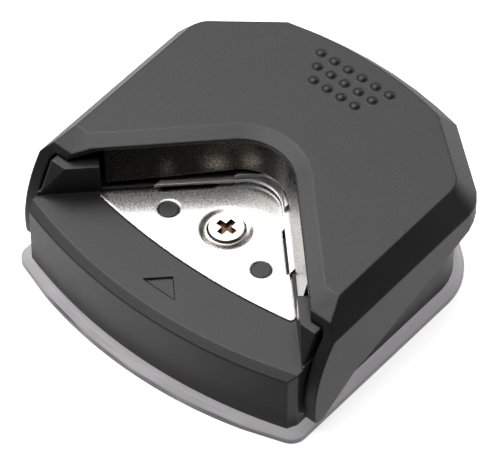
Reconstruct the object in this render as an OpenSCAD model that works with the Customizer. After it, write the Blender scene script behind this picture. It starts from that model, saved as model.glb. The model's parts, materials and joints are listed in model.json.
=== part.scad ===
// Corner rounder punch: a hand press that cuts a round corner on paper and card.
// Millimetres, +Z up, +Y to the back. The origin is on the table under the middle of the
// whole object. The lever is drawn raised, which is its rest position.

/* [Overall] */
// Width across the lever's skirts
overall_w = 64.2; // [56:0.2:78]
// Length from the tray's front edge to the back of the raised lever
overall_l = 65.6; // [62:0.2:80]
// Height of the lever's top face with the lever level
lever_top = 24.6; // [24:0.2:30]

/* [Lever cover] */
// Thickness of the lever's skirt and arms
lever_wall = 2.3; // [1.6:0.1:3]
// Thickness of the lever's top face
lever_skin = 1.5; // [1.2:0.1:2]
// Sideways width of the bevel round the top face
bevel_w = 3.5; // [2:0.1:4.5]
// Steepness of that bevel in degrees
bevel_angle = 51; // [45:1:60]
// Length of the rear end over which the corners are cut away
corner_len = 17.3; // [12:0.1:19]
// Angle of the cut rear corners in degrees
corner_angle = 51.3; // [40:0.1:60]
// Radius that blends each side into its cut corner
corner_r = 8; // [4:0.5:12]
// Radius of the bowed rear edge
rear_r = 74; // [60:1:120]
// Slope of the lever's front facets in degrees
facet_angle = 25.5; // [15:0.5:35]
// Where the front facets start
facet_y = -13.1; // [-15:0.1:-12]
// Height of the skirt's lower edge along the back
skirt_rear_z = 16.9; // [15.5:0.1:18]
// Radius of the arms' bowed front edge
arm_r = 22.4; // [18:0.1:30]
// How far the arms reach in front of the hinge
arm_reach = 5.2; // [4:0.1:5.6]
// Height of the arms' lowest point
arm_tip_z = 3.2; // [2.8:0.1:4.5]
// Distance between raised grip dots
dot_pitch = 3; // [2.6:0.1:3.4]
// Diameter of a grip dot
dot_d = 1.9; // [1.4:0.1:2.2]
// Height of a grip dot
dot_h = 0.5; // [0.3:0.1:0.6]

/* [Hinge] */
// Hinge axis, from the middle of the object towards the front
hinge_y = -18.2; // [-19:0.1:-17]
// Height of the hinge axis
hinge_z = 9; // [8:0.1:10]
// Diameter of the hinge pins
hinge_pin_d = 2.5; // [2:0.1:3]
// How deep the hinge pins reach into the base
hinge_pin_depth = 6; // [4:0.5:6]
// How far the raised lever is tilted above level in degrees
rest_tilt = 1; // [0.5:0.1:1.5]
// How far the lever is pressed from rest in degrees
press_angle = 4.5; // [4:0.1:5]

/* [Base] */
// Thickness of the base's outer walls
base_wall = 2; // [1.6:0.1:2.6]
// Sideways gap between the base and the lever
side_gap = 0.6; // [0.5:0.1:1.2]
// Gap between the base and the lever's rear skirt
rear_gap = 1.6; // [1.2:0.1:3]
// Radius of the bowed front
front_r = 92; // [80:1:140]
// Radius that blends each side of the base into its cut rear corner
base_corner_r = 10.6; // [8:0.2:14]
// Height of the base's top face
base_top = 14.8; // [14.2:0.1:15]
// Width of the chamfer along the base's front edge
front_bevel_run = 1.6; // [0.6:0.1:2.6]
// Height of the chamfer along the base's front edge
front_bevel_rise = 1; // [0.4:0.1:2]
// Height of the base's rear wall
rear_wall_z = 16.8; // [15:0.1:17]
// Height of the two posts beside the throat
post_z = 20.9; // [19:0.1:20.9]
// Height of the floor under the springs
deck_z = 11; // [10:0.1:12]
// Thickness of that floor
deck_t = 2; // [1.6:0.1:2.4]

/* [Chip tray] */
// How far the tray stands out at the sides
tray_lip = 1.9; // [1:0.1:3]
// How far the tray stands out in front
tray_lip_front = 2.3; // [1:0.1:3]
// Radius of the tray's bowed front
tray_front_r = 84; // [76:1:140]
// Height of the ledge that the base stands on
tray_ledge = 1.8; // [1.4:0.1:2.4]
// Thickness of the tray's floor
tray_floor = 1.2; // [0.8:0.1:1.4]
// Height of the tray's inner wall above the table
tray_wall_z = 5.5; // [4:0.1:6]
// Thickness of the tray's inner wall
tray_wall = 1.4; // [1:0.1:2]

/* [Punch and throat] */
// Where the two paper fences would meet
fence_y = 6; // [5.5:0.1:6.5]
// Radius that the punch cuts on the paper
cut_r = 4; // [3:0.5:5]
// Half the width of the blade
blade_half_w = 5.5; // [5:0.1:6]
// Thickness of the die plate
plate_t = 1; // [0.8:0.1:1.4]
// How far the die plate stands above the base
plate_proud = 0.2; // [0:0.1:0.4]
// Radius of the die plate's bowed front edge
plate_r = 118; // [90:1:150]
// Height of the slot that the paper slides into
paper_slot = 0.5; // [0.4:0.1:0.6]
// Thickness of the guide plate
guide_t = 0.5; // [0.4:0.1:0.7]
// Thickness of the throat liner's sheet
liner_t = 0.6; // [0.5:0.1:0.8]
// Diameter of the locating pegs in the die plate
peg_d = 3.3; // [2.8:0.1:4]
// Diameter of the main screw's head
screw_head_d = 6.9; // [5:0.1:7.2]

/* [Springs] */
// Outer diameter of a return spring
spring_d = 7; // [6:0.1:7.5]
// Wire diameter of a return spring
spring_wire = 0.8; // [0.6:0.1:0.9]
// Number of turns in a return spring
spring_turns = 6; // [5:1:8]
// Sideways place of the springs
spring_x = 14; // [13:0.5:16]
// Distance from the lever's rear end to the springs
spring_rear = 14.8; // [13.8:0.1:16.8]

/* [Hidden] */
$fn = 96;
far = 120;             // longer than anything in the object
fit = 0.05;            // running clearance on each side
seat = 0.01;           // clearance of a fixed pin or screw in its hole
fence_angle = 45;      // a paper corner is square, so each fence lies at 45 degrees
wedge = sqrt(2);       // lengthways reach of a 45 degree line per unit at right angles to it

half_w = overall_w / 2;
arm_in = half_w - lever_wall;
base_hw = arm_in - side_gap;
tray_front_y = -overall_l / 2;
base_front_y = tray_front_y + tray_lip_front;
// the tilt moves the skirt's lowest edge forward, so the level lever reaches a little further
lever_rear_y = hinge_y + (overall_l / 2 - hinge_y
  + (skirt_rear_z - hinge_z) * sin(rest_tilt)) / cos(rest_tilt);
base_rear_y = overall_l / 2 - lever_wall - rear_gap;
tray_rear_y = base_rear_y + tray_lip;
bevel_z = lever_top - bevel_w * tan(bevel_angle);
corner_y = lever_rear_y - corner_len;
plate_top = base_top + plate_proud;
guide_z = plate_top + paper_slot;
guide_top = guide_z + guide_t;

// throat curves: where each pair of 45 degree lines would meet, and the centre of its rounding
throat_centre = -4.93;
throat_low = 8.7;
throat_high = 12.55;
throat_drop = 0.9;
throat_flats = 10;
guide_centre = -3;
guide_edge = 5.5;
guide_back = 11.5;
guide_end = 14.9;
leg_end = 21.7;
liner_low = 6.4;
liner_gap = 0.15;

plate_front_y = -18.25;
plate_corner_x = 21.2;
plate_corner_y = -15.3;
tongue_hw = 7.5;
blade_back = 11;
tongue_back = blade_back + 1.6;
die_fit = 0.03;
guide_fit = 0.15;
screw_y = -8.1;
peg_x = 10.2;
peg_y = -11.1;
guide_screw_x = 10.5;
guide_screw_y = 3.2;
guide_screw_d = 2.2;

post_in = 21.5;
post_bend = 25.6;
post_back = -12.5;
post_foot = 3.4;

foot_z = guide_z + 0.2;
foot_top = 16.9;
blade_top = 22;
blade_web = 2.4;
blade_web_hw = 4.5;
holder_top = 22.2;
holder_low = 19.5;
holder_hw = 6.4;
holder_back = 18.8;
stem_front = 14.8;
stem_hw = 5;
stem_low = 7.4;
clip_t = 1;
tower_hw = 6.7;
tower_front = 13.2;
tower_back = 20.6;
tower_z = 15.9;
blade_screw_z = 20.6;
blade_screw_d = 2;
lift_pin_d = 2;
lift_pin_y = 16.6;
lift_pin_z = 21.1;
ear_in = 7;
ear_t = 1.3;
ear_low = 17.9;
slot_front = 14.5;
slot_back = 18.05;
slot_low = 19.2;
slot_high = 21.95;
cam_y = 12;
cam_r = 1.3;
cam_gap = 0.05;

liner_tab_z = 20.5;
liner_tab_along = 10;
liner_tab_out = 12.6;
liner_tab_r = 2.6;
liner_screw_d = 1.8;
liner_boss_d = 4.4;

cup_t = 0.8;
cup_h = 2.4;
spring_y = overall_l / 2 - spring_rear;
// what the tilt does to a point under the lever's top face, above the springs
tilt_back = (lever_top - hinge_z) * sin(rest_tilt);
tilt_up = (spring_y - hinge_y) * sin(rest_tilt);
spring_top = lever_top - lever_skin + tilt_up - cup_t - 0.1;

pocket_line = 18.5;

function reach(a, r) = (half_w - corner_r) * cos(a) + corner_y * sin(a) + corner_r - r;
function perp(corner, centre) = (corner - centre) / wedge;

// ---- shared shapes ----

// A shape and its mirror image
module both_sides() {
  children();
  mirror([1, 0, 0]) children();
}

// The area in front of a pair of 45 degree lines that are joined by an arc
module throat_area(corner, centre) {
  r = perp(corner, centre);
  t = r / wedge;
  steps = 24;
  arc = [for (i = [0 : steps]) let (a = fence_angle + 90 * i / steps) [r * cos(a), r * sin(a)]];
  translate([0, centre]) polygon(concat([[t + far, t - far]], arc, [[-t - far, t - far]]));
}

// The area in front of two 45 degree lines that meet in a sharp corner
module corner_area(corner) {
  polygon([[0, corner], [far, corner - far], [-far, corner - far]]);
}

// A profile (distance from the centre, height) swept along the throat: leg, arc, leg
module along_throat(centre, leg) {
  translate([0, centre, 0]) {
    rotate([0, 0, fence_angle]) rotate_extrude(angle = 90) children();
    both_sides() rotate([0, 0, fence_angle]) rotate([90, 0, 0]) linear_extrude(leg) children();
  }
}

// Where something sits beside the right leg of the throat
module beside_leg(centre, out, along) {
  translate([(out + along) / wedge, centre + (out - along) / wedge, 0]) children();
}

// Plan of the base and the tray: straight sides, cut rear corners, bowed front and back
module plan(grow, front_y, rear_y, bow) {
  r = base_corner_r + grow;
  cx = base_hw - base_corner_r;
  cy = corner_y - 2.5;
  tx = cx + r * cos(corner_angle);
  ty = cy + r * sin(corner_angle);
  run = rear_y - ty + 4;
  intersection() {
    union() {
      both_sides() translate([cx, cy]) circle(r);
      polygon([
        [base_hw + grow, front_y - 2], [base_hw + grow, cy], [cx, cy], [tx, ty],
        [tx - run * tan(corner_angle), ty + run], [run * tan(corner_angle) - tx, ty + run],
        [-tx, ty], [-cx, cy], [-base_hw - grow, cy], [-base_hw - grow, front_y - 2]
      ]);
    }
    translate([0, front_y + bow]) circle(bow);
    translate([0, rear_y - rear_r]) circle(rear_r);
  }
}

module base_plan(inset = 0) {
  nose_a = -26.6;
  nose_reach = base_hw * cos(nose_a) + (base_front_y + 6.2) * sin(nose_a);
  intersection() {
    plan(-inset, base_front_y + inset, base_rear_y - inset, front_r - inset);
    intersection_for (s = [0, 1]) {
      mirror([s, 0]) rotate(nose_a) translate([-far, -far])
        square([far + nose_reach - inset, 2 * far]);
    }
  }
}

// Plan of the blade's foot: square to the fences, hollowed to the radius that it cuts
module blade_plan(grow = 0) {
  w = blade_half_w + grow;
  tangent = cut_r / wedge;
  centre = fence_y - wedge * cut_r;
  nose = centre + tangent;
  difference() {
    polygon([
      [-w, fence_y - w - grow], [-tangent, nose - 2 * grow], [tangent, nose - 2 * grow],
      [w, fence_y - w - grow], [w, blade_back + grow], [-w, blade_back + grow]
    ]);
    translate([0, centre]) circle(cut_r - grow);
  }
}

// Plan of the die plate: bowed front, edges along the fences, tongue under the blade
module die_plan(grow = 0) {
  edge = 4.9 + grow * wedge;
  wide_edge = 5.9 + grow * wedge;
  step_x = 14.2 - grow;
  wing = plate_corner_x + grow;
  intersection() {
    translate([0, plate_front_y - grow + plate_r]) circle(plate_r);
    polygon([
      [wing - 0.8, plate_corner_y - 2], [wing, plate_corner_y - 0.6],
      [wing, wide_edge - wing], [step_x, wide_edge - step_x], [step_x, edge - step_x],
      [tongue_hw + grow, edge - tongue_hw - grow], [tongue_hw + grow, tongue_back + grow],
      [-tongue_hw - grow, tongue_back + grow], [-tongue_hw - grow, edge - tongue_hw - grow],
      [-step_x, edge - step_x], [-step_x, wide_edge - step_x], [-wing, wide_edge - wing],
      [-wing, plate_corner_y - 0.6], [0.8 - wing, plate_corner_y - 2], [0, plate_front_y - 3]
    ]);
  }
}

// ---- lever, drawn level and then raised about the hinge ----

module raised() {
  translate([0, hinge_y, hinge_z]) rotate([rest_tilt, 0, 0])
    translate([0, -hinge_y, -hinge_z]) children();
}

// Side view of the lever (lengthways, height)
module lever_profile() {
  front = hinge_y - arm_reach;
  low_facet = 12;
  intersection() {
    polygon([
      [front - 2, arm_tip_z + 1.6], [front + 0.9, arm_tip_z], [front + 2.4, arm_tip_z],
      [front + 11.1, 8.1], [front + 12.8, 8.2],
      [lever_rear_y - 14.4, skirt_rear_z], [lever_rear_y + 1, skirt_rear_z],
      [lever_rear_y + 1, lever_top], [facet_y, lever_top],
      [facet_y - low_facet, lever_top - low_facet * tan(facet_angle)],
      [front - 2, lever_top - low_facet * tan(facet_angle)]
    ]);
    union() {
      translate([front + arm_r, 6.5]) circle(arm_r);
      translate([front + arm_r, 0]) square([far, far]);
      translate([front + 5.2, 20.5]) rotate(-24) square([far, far]);
    }
  }
}

// Side view of the hollow under the lever
module hollow_profile() {
  run = 30;
  bend_y = facet_y - 0.9;
  polygon([
    [bend_y - run, -1], [lever_rear_y, -1], [lever_rear_y, lever_top - lever_skin],
    [bend_y, lever_top - lever_skin],
    [bend_y - run, lever_top - lever_skin - run * tan(facet_angle)]
  ]);
}

// Prism whose outer wall is upright up to the bevel and then leans in
module bevel_prism(out) {
  up = 10;
  rotate([90, 0, 0]) translate([0, 0, -far]) linear_extrude(2 * far) polygon([
    [-far, -1], [out, -1], [out, bevel_z], [out - up / tan(bevel_angle), bevel_z + up],
    [-far, bevel_z + up]
  ]);
}

// The lever's beveled outer form, or the same form drawn in by inset. Each direction in plan
// has its own flat: the side, the rounded corner, the cut corner and the bowed rear edge.
module lever_form(inset) {
  rear_dirs = [78, 82, 86, 90];
  intersection_for (i = [0 : 8]) {
    a = i < 5 ? corner_angle * i / 4 : rear_dirs[i - 5];
    out = i < 5 ? reach(a, inset) : (lever_rear_y - rear_r) * sin(a) + rear_r - inset;
    intersection() {
      rotate([0, 0, a]) bevel_prism(out);
      mirror([1, 0, 0]) rotate([0, 0, a]) bevel_prism(out);
    }
  }
}

module from_side(half) {
  translate([-half, 0, 0]) rotate([90, 0, 90]) linear_extrude(2 * half) children();
}

module lever_shell() {
  difference() {
    intersection() {
      from_side(half_w + 1) lever_profile();
      lever_form(0);
    }
    intersection() {
      from_side(arm_in + 1) hollow_profile();
      lever_form(lever_wall);
    }
    throat_cut();
  }
}

// The opening through the top face, with the bevel round its edge. It has flats in plan too.
module throat_cut() {
  low = perp(throat_low, throat_centre);
  high = perp(throat_high, throat_centre);
  lean = (high - low) / throat_drop;
  intersection() {
    translate([-arm_in, -far / 2, 0]) cube([2 * arm_in, far, far]);
    intersection_for (i = [0 : throat_flats]) {
      a = fence_angle + (180 - 2 * fence_angle) * i / throat_flats;
      out = throat_centre * sin(a);
      rotate([0, 0, a]) rotate([90, 0, 0]) translate([0, 0, -far]) linear_extrude(2 * far)
        polygon([
          [-far, 0], [out + low, 0], [out + low, lever_top - throat_drop],
          [out + low + 3 * throat_drop * lean, lever_top + 2 * throat_drop],
          [-far, lever_top + 2 * throat_drop]
        ]);
    }
  }
}

module grip_dots() {
  rows = [[6, 25.6], [5, 22.8], [4, 20]];
  ball = (dot_d * dot_d / 4 + dot_h * dot_h) / (2 * dot_h);
  for (row = rows) {
    for (i = [0 : row[0] - 1]) {
      translate([(i - (row[0] - 1) / 2) * dot_pitch, row[1], lever_top + dot_h - ball])
        sphere(r = ball, $fn = 40);
    }
  }
}

// One of the two ears that lift the punch by its pin
module lift_ear() {
  top = lever_top - lever_skin;
  difference() {
    translate([ear_in, slot_front - 1.2, ear_low])
      cube([ear_t, slot_back - slot_front + 2.4, top + 0.3 - ear_low]);
    translate([ear_in - 1, slot_front, slot_low])
      cube([ear_t + 2, slot_back - slot_front, slot_high - slot_low]);
  }
}

module liner_boss() {
  top = lever_top - lever_skin;
  beside_leg(throat_centre, liner_tab_out, liner_tab_along) difference() {
    translate([0, 0, liner_tab_z + liner_t])
      cylinder(h = top + 0.3 - liner_tab_z - liner_t, d = liner_boss_d);
    translate([0, 0, liner_tab_z]) cylinder(h = 3, d = liner_screw_d + 2 * seat);
  }
}

module lever_cover() {
  cam_z = holder_top + cam_gap + cam_r;
  color([0.2, 0.19, 0.2]) difference() {
    union() {
      raised() {
        lever_shell();
        grip_dots();
        both_sides() lift_ear();
        both_sides() liner_boss();
      }
      translate([0, cam_y, cam_z]) rotate([0, 90, 0])
        cylinder(h = 2 * blade_web_hw, r = cam_r, center = true);
    }
    both_sides() translate([arm_in - 1, hinge_y, hinge_z]) rotate([0, 90, 0])
      cylinder(h = lever_wall + 0.3, d = hinge_pin_d + 2 * fit);
  }
}

// Polished sheet liner under the edge of the throat; its lower edge lies level when pressed
module throat_liner() {
  low = perp(liner_low, throat_centre);
  high = perp(throat_low, throat_centre);
  bottom = 15;
  top = lever_top - lever_skin;
  leg = leg_end;
  tab = liner_tab_out;
  color([0.8, 0.8, 0.8]) difference() {
    raised() difference() {
      union() {
        intersection() {
          along_throat(throat_centre, leg) {
            polygon([
              [low, bottom], [low + liner_t, bottom], [high + liner_t, top], [high, top]
            ]);
            polygon([[high + 0.1, top - liner_t], [high + 0.7, top - liner_t],
              [high + 0.7, top], [high + 0.1, top]]);
          }
          from_side(arm_in) hollow_profile();
        }
        both_sides() translate([0, 0, liner_tab_z]) linear_extrude(liner_t) {
          beside_leg(throat_centre, tab, liner_tab_along) circle(liner_tab_r);
          translate([0, throat_centre]) rotate(fence_angle)
            translate([low + 1.7, -liner_tab_along - liner_tab_r])
            square([tab - low - 1.7, 2 * liner_tab_r]);
        }
      }
      both_sides() beside_leg(throat_centre, tab, liner_tab_along)
        translate([0, 0, liner_tab_z - 1]) cylinder(h = 3, d = liner_screw_d + 2 * seat);
    }
    translate([0, hinge_y, hinge_z]) rotate([press_angle, 0, 0])
      translate([-far / 2, -far / 2, guide_top + liner_gap - hinge_z - far])
      cube([far, far, far]);
  }
}

module liner_screws() {
  color([0.7, 0.7, 0.7]) raised() both_sides()
    beside_leg(throat_centre, liner_tab_out, liner_tab_along)
    difference() {
      union() {
        translate([0, 0, liner_tab_z - 1]) cylinder(h = 1, d = 3.4);
        translate([0, 0, liner_tab_z - 0.5]) cylinder(h = 3, d = liner_screw_d);
      }
      translate([0, 0, liner_tab_z - 1.1]) cross_slot(1.8, 0.5, 0.6);
    }
}

module cross_slot(span, width, depth) {
  for (a = [0, 90]) {
    rotate([0, 0, a]) translate([-span / 2, -width / 2, 0]) cube([span, width, depth]);
  }
}

// ---- base ----

module post() {
  facet = atan(post_foot / (post_z - base_top));
  back = post_in + 3;
  out = base_hw + 5;
  intersection() {
    translate([0, 0, deck_z]) linear_extrude(post_z - deck_z) base_plan(0.4);
    difference() {
      translate([0, 0, deck_z]) linear_extrude(post_z - deck_z) polygon([
        [post_in, fence_y - post_in], [out, fence_y - out], [out, post_back], [back, post_back]
      ]);
      // the sloping front facet
      translate([0, fence_y - post_bend, post_z]) rotate([-facet, 0, 0])
        translate([-far, -far, -far]) cube([2 * far, far, 2 * far]);
    }
  }
}

module base_blocks() {
  translate([0, 0, tray_ledge]) linear_extrude(base_top - tray_ledge) base_plan();
  // fences and the shelf for the guide plate
  translate([0, 0, deck_z]) linear_extrude(guide_z - deck_z) difference() {
    base_plan();
    corner_area(fence_y);
    translate([-far / 2, tower_front]) square([far, far]);
  }
  // rear wall
  translate([0, 0, deck_z]) linear_extrude(rear_wall_z - deck_z) difference() {
    base_plan();
    base_plan(base_wall);
    translate([-far / 2, post_back - far]) square([far, far]);
  }
  both_sides() post();
  translate([-tower_hw, tower_front, deck_z - 1])
    cube([2 * tower_hw, tower_back - tower_front, tower_z - deck_z + 1]);
}

// Everything that is cut out of the base
module base_cuts() {
  // bevel along the front edge
  translate([0, base_front_y + front_r, 0]) rotate_extrude() polygon([
    [front_r - front_bevel_run, base_top + 0.01], [front_r, base_top - front_bevel_rise],
    [front_r + 1, base_top - front_bevel_rise], [front_r + 1, base_top + 1],
    [front_r - front_bevel_run, base_top + 1]
  ]);
  // chip room under the floor
  chip_top = deck_z - deck_t;
  translate([0, 0, tray_ledge - 1]) linear_extrude(chip_top - tray_ledge + 1) difference() {
    base_plan(base_wall);
    both_sides() translate([base_hw - hinge_pin_depth - 1.2, hinge_y - 4])
      square([20, 8]);
  }
  // spring bay behind the throat
  difference() {
    translate([0, 0, deck_z]) linear_extrude(far) difference() {
      base_plan(base_wall);
      corner_area(pocket_line);
    }
    translate([-tower_hw, tower_front, 0]) cube([2 * tower_hw, tower_back - tower_front, tower_z]);
  }
  // seat of the die plate and the groove beside it
  translate([0, 0, plate_top - plate_t]) linear_extrude(plate_t + paper_slot + 0.1) intersection() {
    die_plan(fit);
    translate([-far, -far]) square([2 * far, far + tower_front]);
  }
  groove();
  // chip chute under the die
  translate([-blade_half_w - 0.8, fence_y - blade_half_w - 1, 0])
    cube([2 * (blade_half_w + 0.8), blade_back + 0.6 - (fence_y - blade_half_w - 1), base_top]);
  // channel for the holder's stem
  translate([-stem_hw - fit, stem_front - fit, 0])
    cube([2 * (stem_hw + fit), holder_back - stem_front + 2 * fit, far]);
  // hinge pin holes
  both_sides() translate([base_hw - hinge_pin_depth, hinge_y, hinge_z]) rotate([0, 90, 0])
    cylinder(h = 20, d = hinge_pin_d + 2 * seat);
  // holes for the screws
  translate([0, screw_y, deck_z - deck_t - 1]) cylinder(h = 20, d = 3 + 2 * seat);
  both_sides() translate([guide_screw_x, guide_screw_y, deck_z - deck_t - 1])
    cylinder(h = 20, d = guide_screw_d + 2 * seat);
  // arrow that shows where the paper goes
  translate([0, -25.2, base_top - 0.4]) linear_extrude(2)
    polygon([[-3.5, 0], [3.5, 0], [0, 3.5]]);
  // spring seats
  both_sides() translate([spring_x, spring_y, deck_z - 0.4])
    cylinder(h = far, d = spring_d + 0.6);
}

// Open groove between the die plate's edge and each fence
module groove() {
  inner = 4.8;
  translate([0, 0, plate_top - plate_t - 0.5]) linear_extrude(3) intersection() {
    difference() {
      corner_area(fence_y);
      corner_area(inner);
    }
    both_sides() translate([tongue_hw, -far]) square([14.2 - tongue_hw, 2 * far]);
  }
}

module base_body() {
  color([0.21, 0.2, 0.21]) {
    difference() {
      base_blocks();
      base_cuts();
    }
    // locating pegs for the die plate
    both_sides() translate([peg_x, peg_y, plate_top - plate_t - 0.5])
      cylinder(h = plate_t + 0.3, d = peg_d);
    // pegs that centre the springs
    both_sides() translate([spring_x, spring_y, deck_z - 1]) cylinder(h = 3.5, d = 4.4);
  }
}

module die_plate() {
  dish_d = screw_head_d + 2.5;
  color([0.85, 0.85, 0.85]) translate([0, 0, plate_top - plate_t]) difference() {
    linear_extrude(plate_t) difference() {
      die_plan(0);
      blade_plan(die_fit);
    }
    both_sides() translate([peg_x, peg_y, -1]) cylinder(h = 5, d = peg_d + 2 * fit);
    both_sides() translate([peg_x, peg_y, plate_t - 0.25])
      cylinder(h = 0.26, d1 = peg_d + 2 * fit, d2 = peg_d + 2 * fit + 0.52);
    translate([0, screw_y, -1]) cylinder(h = 5, d = 3.3);
    // dished seat of the screw
    translate([0, screw_y, plate_t - 0.5]) cylinder(h = 0.51, d1 = screw_head_d + 0.5, d2 = dish_d);
  }
}

module die_plate_screw() {
  under = plate_top - 0.5;
  color([0.75, 0.72, 0.68]) translate([0, screw_y, 0]) difference() {
    union() {
      translate([0, 0, under]) cylinder(h = 0.5, d = screw_head_d);
      translate([0, 0, under + 0.5])
        cylinder(h = 0.4, d1 = screw_head_d, d2 = screw_head_d - 0.9);
      translate([0, 0, deck_z - deck_t + 0.2]) cylinder(h = under - deck_z + deck_t, d = 3);
    }
    translate([0, 0, under + 0.2]) cross_slot(3.6, 1.1, 2);
  }
}

module guide_plate() {
  color([0.8, 0.8, 0.8]) translate([0, 0, guide_z]) difference() {
    union() {
      linear_extrude(guide_t) intersection() {
        throat_area(guide_back, guide_centre);
        translate([-guide_end, -far]) square([2 * guide_end, 2 * far]);
      }
      both_sides() translate([guide_screw_x, guide_screw_y, 0]) cylinder(h = guide_t, r = 3.2);
      translate([-8, 0, 0]) cube([16, tongue_back, guide_t]);
    }
    translate([0, 0, -1]) linear_extrude(3) throat_area(guide_edge, guide_centre);
    translate([0, 0, -1]) linear_extrude(3) blade_plan(guide_fit);
    both_sides() translate([guide_screw_x, guide_screw_y, -1])
      cylinder(h = 3, d = guide_screw_d + 0.2);
  }
}

module guide_plate_screws() {
  color([0.7, 0.7, 0.7]) both_sides() translate([guide_screw_x, guide_screw_y, 0])
    difference() {
      union() {
        translate([0, 0, guide_top]) cylinder(h = 1.1, d1 = 4.4, d2 = 3.6);
        translate([0, 0, deck_z - 1]) cylinder(h = guide_top - deck_z + 1.1, d = guide_screw_d);
      }
      translate([0, 0, guide_top + 0.4]) cross_slot(2.4, 0.6, 2);
    }
}

// ---- punch ----

module punch_blade() {
  web = blade_back - blade_web;
  color([0.6, 0.6, 0.62]) difference() {
    union() {
      translate([0, 0, foot_z]) linear_extrude(foot_top - foot_z) blade_plan();
      translate([-blade_web_hw, web, foot_z]) cube([2 * blade_web_hw, blade_web, blade_top - foot_z]);
    }
    translate([0, web - 1, blade_screw_z]) rotate([-90, 0, 0])
      cylinder(h = blade_web + 2, d = blade_screw_d + 2 * seat);
  }
}

module punch_holder() {
  color([0.85, 0.85, 0.82]) difference() {
    union() {
      translate([-holder_hw, blade_back, holder_low])
        cube([2 * holder_hw, holder_back - blade_back, holder_top - holder_low]);
      translate([-stem_hw, stem_front, stem_low])
        cube([2 * stem_hw, holder_back - stem_front, holder_low - stem_low + 0.1]);
    }
    translate([-holder_hw - 1, lift_pin_y, lift_pin_z - 0.1]) rotate([0, 90, 0])
      cylinder(h = 2 * holder_hw + 2, d = lift_pin_d + 2 * seat);
    translate([0, blade_back - 1, blade_screw_z]) rotate([-90, 0, 0])
      cylinder(h = 4, d = blade_screw_d + 2 * seat);
    // groove for the retaining clip
    both_sides() translate([stem_hw - 0.8, stem_front - 1, deck_z - deck_t - fit - clip_t])
      cube([3, 8, clip_t]);
  }
}

module blade_screw() {
  web = blade_back - blade_web;
  head = 1.2;
  color([0.5, 0.5, 0.5]) translate([0, web, blade_screw_z]) rotate([-90, 0, 0]) difference() {
    union() {
      translate([0, 0, -head]) cylinder(h = head, d = 3.8);
      translate([0, 0, -0.1]) cylinder(h = blade_web + 2.9, d = blade_screw_d);
    }
    translate([0, 0, -head - 0.1]) cross_slot(2, 0.5, 0.7);
  }
}

module lift_pin() {
  span = 2 * (ear_in + ear_t + 0.5);
  color([0.75, 0.75, 0.75]) translate([-span / 2, lift_pin_y, lift_pin_z - 0.1])
    rotate([0, 90, 0]) cylinder(h = span, d = lift_pin_d);
}

// Flat clip that stops the punch from being drawn up out of the base
module retaining_clip() {
  hw = stem_hw + 1.2;
  slot = stem_hw - 0.8;
  color([0.7, 0.7, 0.7]) translate([0, 0, deck_z - deck_t - fit - clip_t])
    linear_extrude(clip_t) difference() {
      translate([-hw, stem_front - 1.6]) square([2 * hw, holder_back - stem_front + 0.9]);
      translate([-slot, stem_front]) square([2 * slot, 20]);
    }
}

// ---- hinge pins, springs and tray ----

module hinge_pin() {
  color([0.75, 0.75, 0.75]) translate([base_hw - hinge_pin_depth, hinge_y, hinge_z])
    rotate([0, 90, 0])
    cylinder(h = hinge_pin_depth + side_gap + lever_wall - 0.8, d = hinge_pin_d);
}

module hinge_pin_right() {
  hinge_pin();
}

module hinge_pin_left() {
  mirror([1, 0, 0]) hinge_pin();
}

// A coil of round wire between two heights, built ring by ring
module coil(low, high) {
  sides = 8;
  steps = 20;
  r = (spring_d - spring_wire) / 2;
  rise = high - low - spring_wire;
  rings = spring_turns * steps;
  function ring_point(i, j) =
    let (a = 360 * i / steps, t = i / rings, b = 360 * j / sides)
    // closed end turns: the coil rises slowly at both ends
    let (z = low + spring_wire / 2 + rise * (t - sin(360 * t) / 360 * 40))
    [(r + spring_wire / 2 * cos(b)) * cos(a), (r + spring_wire / 2 * cos(b)) * sin(a),
      z + spring_wire / 2 * sin(b)];
  points = [for (i = [0 : rings]) for (j = [0 : sides - 1]) ring_point(i, j)];
  skin = [for (i = [0 : rings - 1]) for (j = [0 : sides - 1])
    let (k = (j + 1) % sides)
    [i * sides + j, (i + 1) * sides + j, (i + 1) * sides + k, i * sides + k]];
  first = [for (j = [0 : sides - 1]) j];
  last = [for (j = [sides - 1 : -1 : 0]) rings * sides + j];
  polyhedron(points, concat(skin, [first, last]), convexity = 10);
}

module return_spring() {
  color([0.75, 0.75, 0.77]) translate([spring_x, spring_y, 0])
    coil(deck_z - 0.35, spring_top);
}

module return_spring_right() {
  return_spring();
}

module return_spring_left() {
  mirror([1, 0, 0]) return_spring();
}

// Cap between each spring and the lever
module spring_cup() {
  top = lever_top - lever_skin;
  color([0.9, 0.9, 0.88]) raised() translate([spring_x, spring_y + tilt_back, 0]) difference() {
    translate([0, 0, top - cup_h]) cylinder(h = cup_h, d = spring_d + 2);
    translate([0, 0, top - cup_h - 1]) cylinder(h = cup_h + 1 - cup_t, d = spring_d + 0.4);
  }
}

module spring_cup_right() {
  spring_cup();
}

module spring_cup_left() {
  mirror([1, 0, 0]) spring_cup();
}

module tray_plan(grow) {
  offset(r = 3, $fn = 48) offset(delta = -3)
    plan(tray_lip + grow, tray_front_y - grow, tray_rear_y + grow, tray_front_r);
}

module chip_tray() {
  edge_z = 1;
  slope_w = 1.1;
  color([0.85, 0.84, 0.85]) difference() {
    union() {
      hull() {
        linear_extrude(edge_z) tray_plan(0);
        linear_extrude(tray_ledge) tray_plan(-slope_w);
      }
      linear_extrude(tray_wall_z) base_plan(base_wall + 0.15);
    }
    translate([0, 0, tray_floor]) linear_extrude(far) base_plan(base_wall + 0.15 + tray_wall);
    // room for the hinge blocks
    both_sides() translate([base_hw - hinge_pin_depth - 1.5, hinge_y - 4.3, tray_ledge])
      cube([20, 8.6, far]);
  }
}

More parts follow.
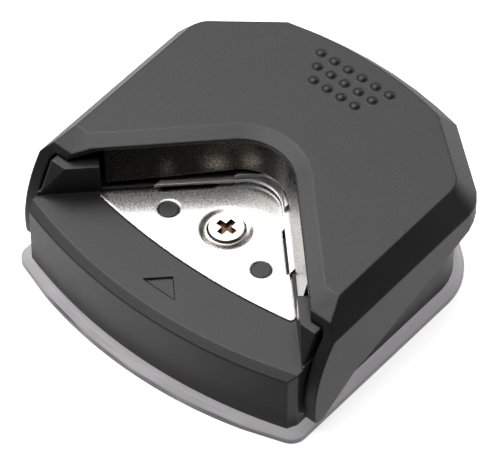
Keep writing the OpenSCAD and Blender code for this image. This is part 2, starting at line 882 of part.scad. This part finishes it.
base_body();
chip_tray();
die_plate();
die_plate_screw();
guide_plate();
guide_plate_screws();
lever_cover();
throat_liner();
liner_screws();
hinge_pin_left();
hinge_pin_right();
punch_blade();
punch_holder();
blade_screw();
lift_pin();
retaining_clip();
return_spring_left();
return_spring_right();
spring_cup_left();
spring_cup_right();
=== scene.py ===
import json
import math

import bmesh
import bpy
from mathutils import Matrix, Vector


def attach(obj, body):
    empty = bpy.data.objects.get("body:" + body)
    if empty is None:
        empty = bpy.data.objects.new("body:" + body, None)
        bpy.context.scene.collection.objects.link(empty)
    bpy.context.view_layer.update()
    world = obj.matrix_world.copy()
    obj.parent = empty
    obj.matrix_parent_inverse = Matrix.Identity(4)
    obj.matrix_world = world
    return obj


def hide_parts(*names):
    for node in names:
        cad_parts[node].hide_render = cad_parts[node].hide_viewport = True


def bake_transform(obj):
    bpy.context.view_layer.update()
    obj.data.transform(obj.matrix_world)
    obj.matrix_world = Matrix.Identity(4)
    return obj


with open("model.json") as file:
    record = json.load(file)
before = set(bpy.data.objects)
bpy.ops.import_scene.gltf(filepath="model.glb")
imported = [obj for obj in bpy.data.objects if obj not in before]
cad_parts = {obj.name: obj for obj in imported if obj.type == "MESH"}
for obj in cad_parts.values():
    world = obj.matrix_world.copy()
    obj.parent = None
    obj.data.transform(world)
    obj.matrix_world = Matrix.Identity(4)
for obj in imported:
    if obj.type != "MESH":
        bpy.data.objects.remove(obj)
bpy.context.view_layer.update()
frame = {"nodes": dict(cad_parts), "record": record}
NODES = frame["nodes"]
scene = bpy.context.scene

# sizes in metres that the skins share with the CAD pieces
TRAY_FRONT_Y = -0.0328
TRAY_BOW_R = 0.084
TRAY_SLOPE = 0.0011
TRAY_RUN_GAP = 1.27e-5  # how far the ends of the straight runs lie inside the arc

# skins: edges sharper than this many degrees stay sharp
CREASE = 18
COIL_CREASE = 60


# ---------------------------------------------------------------- materials
def start(name, base, rough, metallic=0.0):
    """A Principled material, its node tree and its shader node."""
    mat = bpy.data.materials.new(name)
    mat.use_nodes = True
    nt = mat.node_tree
    shader = nt.nodes["Principled BSDF"]
    shader.inputs["Base Color"].default_value = (*base, 1)
    shader.inputs["Roughness"].default_value = rough
    shader.inputs["Metallic"].default_value = metallic
    return mat, nt, shader


def place(nt, scale=(1, 1, 1)):
    """Object coordinates, stretched by scale."""
    where = nt.nodes.new("ShaderNodeTexCoord")
    fit = nt.nodes.new("ShaderNodeMapping")
    fit.inputs["Scale"].default_value = scale
    nt.links.new(where.outputs["Object"], fit.inputs["Vector"])
    return fit.outputs["Vector"]


def noise(nt, vector, scale, detail=3.0):
    """Noise between 0 and 1."""
    n = nt.nodes.new("ShaderNodeTexNoise")
    n.inputs["Scale"].default_value = scale
    n.inputs["Detail"].default_value = detail
    n.inputs["Roughness"].default_value = 0.55
    nt.links.new(vector, n.inputs["Vector"])
    return n.outputs["Fac"]


def ramp(nt, fac, stops):
    """Colours or greys at positions."""
    r = nt.nodes.new("ShaderNodeValToRGB")
    el = r.color_ramp.elements
    while len(el) < len(stops):
        el.new(0.5)
    for e, (pos, col) in zip(el, stops):
        e.position = pos
        e.color = (*col, 1) if isinstance(col, tuple) else (col, col, col, 1)
    nt.links.new(fac, r.inputs["Fac"])
    return r.outputs["Color"]


def relief(nt, height, distance, strength, under=None):
    """Bump, laid over the normals in under where there are some."""
    b = nt.nodes.new("ShaderNodeBump")
    b.inputs["Distance"].default_value = distance
    b.inputs["Strength"].default_value = strength
    nt.links.new(height, b.inputs["Height"])
    if under is not None:
        nt.links.new(under, b.inputs["Normal"])
    return b.outputs["Normal"]


def soft_edges(nt, radius):
    """Normals that round each edge by radius."""
    b = nt.nodes.new("ShaderNodeBevel")
    b.samples = 6
    b.inputs["Radius"].default_value = radius
    return b.outputs["Normal"]


def math_node(nt, operation, first_in, second_in):
    """Two inputs, each a socket or a number."""
    m = nt.nodes.new("ShaderNodeMath")
    m.operation = operation
    for i, value in enumerate((first_in, second_in)):
        if isinstance(value, (int, float)):
            m.inputs[i].default_value = value
        else:
            nt.links.new(value, m.inputs[i])
    return m.outputs[0]


def mixed(nt, share, under, over):
    """Colour that goes from under to over as share goes from 0 to 1."""
    mix = nt.nodes.new("ShaderNodeMix")
    mix.data_type = "RGBA"
    nt.links.new(share, mix.inputs["Factor"])
    colour_inputs = [i for i in mix.inputs if i.type == "RGBA"]
    for socket, colour in zip(colour_inputs, (under, over)):
        if isinstance(colour, tuple):
            socket.default_value = (*colour, 1)
        else:
            nt.links.new(colour, socket)
    return next(o for o in mix.outputs if o.type == "RGBA")


def height_and_place(nt):
    """Object height, and the object coordinates it comes from."""
    where = nt.nodes.new("ShaderNodeTexCoord")
    split = nt.nodes.new("ShaderNodeSeparateXYZ")
    nt.links.new(where.outputs["Object"], split.inputs[0])
    return split.outputs["Z"], where.outputs["Object"]


def plastic(name, base, rough, edge, grain):
    """Moulded plastic: fine spark texture, faint cloudy gloss, rounded edges."""
    mat, nt, shader = start(name, base, rough)
    shader.inputs["IOR"].default_value = 1.5
    v = place(nt)
    cloud = noise(nt, v, 90, 4)
    fine = noise(nt, v, 5200, 2)
    pebble = nt.nodes.new("ShaderNodeTexVoronoi")
    pebble.feature = "SMOOTH_F1"
    pebble.inputs["Scale"].default_value = 3400
    nt.links.new(v, pebble.inputs["Vector"])
    low = tuple(0.86 * c for c in base)
    high = tuple(1.14 * c for c in base)
    nt.links.new(ramp(nt, cloud, [(0.3, low), (0.7, high)]), shader.inputs["Base Color"])
    gloss = ramp(nt, fine, [(0.3, rough - 0.07), (0.7, rough + 0.07)])
    nt.links.new(gloss, shader.inputs["Roughness"])
    skin = relief(nt, pebble.outputs["Distance"], 0.000035, grain, soft_edges(nt, edge))
    nt.links.new(relief(nt, fine, 0.00002, grain, skin), shader.inputs["Normal"])
    return mat


def metal(name, base, rough, edge, brushed=0.0):
    """Plated or ground metal: fine scratches in the gloss, a faint waviness."""
    mat, nt, shader = start(name, base, rough, 1.0)
    v = place(nt, (1, 30 if brushed else 1, 1))
    scratch = noise(nt, v, 2600, 3)
    cloud = noise(nt, place(nt), 160, 3)
    low = tuple(0.94 * c for c in base)
    nt.links.new(ramp(nt, cloud, [(0.3, low), (0.7, base)]), shader.inputs["Base Color"])
    nt.links.new(
        ramp(nt, scratch, [(0.25, rough * 0.75), (0.75, rough * 1.3)]),
        shader.inputs["Roughness"],
    )
    nt.links.new(
        relief(nt, scratch, 0.000004, 0.1 + brushed, soft_edges(nt, edge)),
        shader.inputs["Normal"],
    )
    return mat


def paint_recess_shade(mat, node, reach, depth, dark):
    """Painted shade in the middle of a screw head, below its top face."""
    nt = mat.node_tree
    colour = nt.nodes["Principled BSDF"].inputs["Base Color"]
    corners = [Vector(c) for c in node.bound_box]
    top = max(c.z for c in corners)
    centre = sum(corners, Vector()) / len(corners)
    height, at = height_and_place(nt)
    away = nt.nodes.new("ShaderNodeVectorMath")
    away.operation = "MULTIPLY_ADD"
    away.inputs[1].default_value = (1, 1, 0)
    away.inputs[2].default_value = (-centre.x, -centre.y, 0)
    nt.links.new(at, away.inputs[0])
    length = nt.nodes.new("ShaderNodeVectorMath")
    length.operation = "LENGTH"
    nt.links.new(away.outputs[0], length.inputs[0])
    # painted shade where the surface lies below the head's top and near its centre
    below = math_node(nt, "LESS_THAN", height, top - depth)
    near = math_node(nt, "LESS_THAN", length.outputs["Value"], reach)
    inside = math_node(nt, "MULTIPLY", below, near)
    nt.links.new(mixed(nt, inside, colour.links[0].from_socket, dark), colour)


def frosted(name):
    """Clear plastic with a frosted face and painted shade along the foot of its rim."""
    mat, nt, shader = start(name, (0.7, 0.69, 0.7), 0.4)
    shader.inputs["IOR"].default_value = 1.49
    shader.inputs["Transmission Weight"].default_value = 0.75
    v = place(nt)
    fine = noise(nt, v, 3600, 2)
    cloud = noise(nt, v, 120, 3)
    tint = ramp(nt, cloud, [(0.3, (0.7, 0.675, 0.69)), (0.7, (0.8, 0.775, 0.79))])
    # painted shade: the thick rim is darker where it meets the table
    height, _ = height_and_place(nt)
    rise = nt.nodes.new("ShaderNodeMapRange")
    rise.inputs["From Min"].default_value = 0.0008
    rise.inputs["From Max"].default_value = 0.0013
    nt.links.new(height, rise.inputs["Value"])
    shaded_rim_tone = mixed(nt, rise.outputs["Result"], (0.5, 0.48, 0.5), tint)
    nt.links.new(shaded_rim_tone, shader.inputs["Base Color"])
    nt.links.new(ramp(nt, fine, [(0.3, 0.34), (0.7, 0.46)]), shader.inputs["Roughness"])
    nt.links.new(relief(nt, fine, 0.00002, 0.3, soft_edges(nt, 0.0003)), shader.inputs["Normal"])
    return mat


ABS = plastic("charcoal_abs", (0.012, 0.0115, 0.0125), 0.42, 0.0005, 0.5)
ABS_BASE = plastic("charcoal_abs_base", (0.017, 0.0158, 0.0168), 0.42, 0.00045, 0.4)
CLEAR = frosted("frosted_clear")
PLATE = metal("polished_steel", (0.8, 0.79, 0.78), 0.24, 0.0006)
GUIDE = metal("polished_guide", (0.78, 0.77, 0.76), 0.34, 0.00012)
LINER = metal("polished_liner", (0.13, 0.12, 0.11), 0.26, 0.00012)
NICKEL = metal("nickel_screw", (0.8, 0.76, 0.7), 0.17, 0.00018)
STEEL = metal("steel", (0.56, 0.56, 0.57), 0.3, 0.00012, 0.2)
WIRE = metal("spring_steel", (0.5, 0.5, 0.52), 0.28, 0.00008, 0.1)
ACETAL = plastic("white_acetal", (0.75, 0.75, 0.72), 0.4, 0.0002, 0.15)

# painted shade: dark brown in the screw head's cross recess
paint_recess_shade(NICKEL, NODES["die_plate_screw"], 0.0021, 0.00012, (0.09, 0.05, 0.03))

FINISH = {
    "base_body": (ABS_BASE, "charcoal_abs"),
    "chip_tray": (CLEAR, "frosted_clear"),
    "die_plate": (PLATE, "polished_steel"),
    "die_plate_screw": (NICKEL, "nickel_screw"),
    "guide_plate": (GUIDE, "polished_steel"),
    "guide_plate_screws": (STEEL, "steel"),
    "lever_cover": (ABS, "charcoal_abs"),
    "throat_liner": (LINER, "polished_steel"),
    "liner_screws": (STEEL, "steel"),
    "hinge_pin_left": (STEEL, "steel"),
    "hinge_pin_right": (STEEL, "steel"),
    "punch_blade": (STEEL, "steel"),
    "punch_holder": (ACETAL, "white_acetal"),
    "blade_screw": (STEEL, "steel"),
    "lift_pin": (STEEL, "steel"),
    "retaining_clip": (STEEL, "steel"),
    "return_spring_left": (WIRE, "spring_steel"),
    "return_spring_right": (WIRE, "spring_steel"),
    "spring_cup_left": (ACETAL, "white_acetal"),
    "spring_cup_right": (ACETAL, "white_acetal"),
}


def dress(obj, mat):
    """Gives the whole object one material."""
    obj.data.materials.clear()
    obj.data.materials.append(mat)
    for p in obj.data.polygons:
        p.material_index = 0


for name, (mat, slot) in FINISH.items():
    dress(NODES[name], mat)


def body_of_node(name):
    bodies = frame["record"]["behaviour"]["bodies"]
    return next(body for body, members in bodies.items() if name in members)


def smooth_copy(name, crease, rides=True):
    """The node's own mesh, welded and shaded smooth except at edges sharper than crease."""
    node = NODES[name]
    obj = bpy.data.objects.new(name + "_skin", node.data.copy())
    scene.collection.objects.link(obj)
    bm = bmesh.new()
    bm.from_mesh(obj.data)
    bmesh.ops.remove_doubles(bm, verts=bm.verts, dist=2e-7)
    for f in bm.faces:
        f.smooth = True
    for e in bm.edges:
        e.smooth = len(e.link_faces) == 2 and e.calc_face_angle(math.pi) < math.radians(crease)
    bm.to_mesh(obj.data)
    bm.free()
    if "custom_normal" in obj.data.attributes:
        obj.data.attributes.remove(obj.data.attributes["custom_normal"])
    mat, slot = FINISH[name]
    dress(obj, mat)
    if rides:
        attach(obj, body_of_node(name))
    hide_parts(name)
    return obj


for name in ("lever_cover", "base_body", "chip_tray", "throat_liner", "guide_plate"):
    smooth_copy(name, CREASE)


def round_off(obj, centre_y, radius):
    """Lays the straight runs of the tray's bowed front back onto their arc."""
    on_arc = 2e-6
    same_height = 1e-7
    shortest, longest = 1e-3, 2e-2
    deepest = 3e-4
    cuts = 7
    bm = bmesh.new()
    bm.from_mesh(obj.data)

    def off(v):
        return math.hypot(v.co.x, v.co.y - centre_y) - radius

    runs = [
        e
        for e in bm.edges
        if all(abs(off(v)) < on_arc and v.co.y < 0 for v in e.verts)
        and abs(e.verts[0].co.z - e.verts[1].co.z) < same_height
        and shortest < e.calc_length() < longest
    ]
    made = bmesh.ops.subdivide_edges(bm, edges=runs, cuts=cuts)["geom_inner"]
    for v in made:
        if isinstance(v, bmesh.types.BMVert) and -deepest < off(v) < 0:
            out = Vector((v.co.x, v.co.y - centre_y)).normalized() * radius
            v.co.x, v.co.y = out.x, out.y + centre_y
    for f in bm.faces:
        f.smooth = True
    bm.to_mesh(obj.data)
    bm.free()


tray = bpy.data.objects["chip_tray_skin"]
for inset in (0, TRAY_SLOPE):
    round_off(tray, TRAY_FRONT_Y + inset + TRAY_BOW_R, TRAY_BOW_R - TRAY_RUN_GAP)

# each spring stands on the base, and its top end goes down with the lever; here the coil skin is
# fixed in place and attached to neither body
for name in ("return_spring_left", "return_spring_right"):
    coil = smooth_copy(name, COIL_CREASE, rides=False)
    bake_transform(coil)


# ---------------------------------------------------------------- floor, light and camera
def floor():
    """A pale table, a hair below the object."""
    mesh = bpy.data.meshes.new("floor")
    s = 3.0
    mesh.from_pydata([(-s, -s, 0), (s, -s, 0), (s, s, 0), (-s, s, 0)], [], [(0, 1, 2, 3)])
    obj = bpy.data.objects.new("floor", mesh)
    obj.location.z = -0.00005
    scene.collection.objects.link(obj)
    mat, _, shader = start("floor", (0.9, 0.9, 0.9), 0.9)
    shader.inputs["Emission Color"].default_value = (1, 1, 1, 1)
    shader.inputs["Emission Strength"].default_value = 0.75
    mesh.materials.append(mat)
    obj.visible_glossy = False


def area(name, place_at, aim, size, power):
    """A square white light that faces aim."""
    data = bpy.data.lights.new(name, "AREA")
    data.shape = "SQUARE"
    data.size = size
    data.energy = power
    obj = bpy.data.objects.new(name, data)
    obj.location = place_at
    obj.rotation_mode = "QUATERNION"
    obj.rotation_quaternion = (Vector(aim) - Vector(place_at)).to_track_quat("-Z", "Y")
    scene.collection.objects.link(obj)


def surroundings():
    """A studio round the object: soft light above and behind, a pale table, dark in front."""
    world = bpy.data.worlds.new("studio")
    scene.world = world
    world.use_nodes = True
    nt = world.node_tree
    back = nt.nodes["Background"]
    where = nt.nodes.new("ShaderNodeTexCoord")
    total = 0.03  # light from everywhere else
    # direction, half angle where it has faded out, half angle where it is full, brightness
    patches = (
        ((-0.38, 0.0, 0.92), 42, 22, 3.1),
        ((-0.45, 0.75, 0.5), 50, 15, 0.35),
        ((0.05, 0.97, -0.1), 42, 15, 1.1),
        ((0.45, 0.4, -0.8), 55, 28, 0.85),
        ((-0.75, 0.05, -0.65), 60, 34, 1.2),
    )
    for direction, faded, full, bright in patches:
        dot = nt.nodes.new("ShaderNodeVectorMath")
        dot.operation = "DOT_PRODUCT"
        dot.inputs[1].default_value = Vector(direction).normalized()
        nt.links.new(where.outputs["Generated"], dot.inputs[0])
        span = nt.nodes.new("ShaderNodeMapRange")
        span.interpolation_type = "SMOOTHSTEP"
        span.inputs["From Min"].default_value = math.cos(math.radians(faded))
        span.inputs["From Max"].default_value = math.cos(math.radians(full))
        span.inputs["To Max"].default_value = bright
        nt.links.new(dot.outputs["Value"], span.inputs["Value"])
        total = math_node(nt, "ADD", span.outputs["Result"], total)
    nt.links.new(total, back.inputs["Strength"])
    back.inputs["Color"].default_value = (1.0, 0.985, 0.98, 1)


floor()
surroundings()
area("overhead", (-0.3, 0.1, 0.62), (0, 0, 0.015), 0.25, 0.6)


def photo_camera():
    """A long lens, about 50 degrees above the table and to the right of the front."""
    lens = bpy.data.cameras.new("camera")
    lens.lens = 283.79
    lens.sensor_width = 36
    lens.clip_start = 0.05
    lens.clip_end = 20
    right = Vector((0.76110, 0.64863, 0.00091))
    up = Vector((-0.49371, 0.57840, 0.64939))
    behind = Vector((0.42069, -0.49470, 0.76045))
    stand = (0.280255, -0.331602, 0.514996)
    turn = Matrix((right, up, behind)).transposed().to_4x4()
    camera = bpy.data.objects.new("camera", lens)
    camera.matrix_world = Matrix.Translation(stand) @ turn
    scene.collection.objects.link(camera)
    scene.camera = camera


photo_camera()
scene.view_settings.view_transform = "Standard"
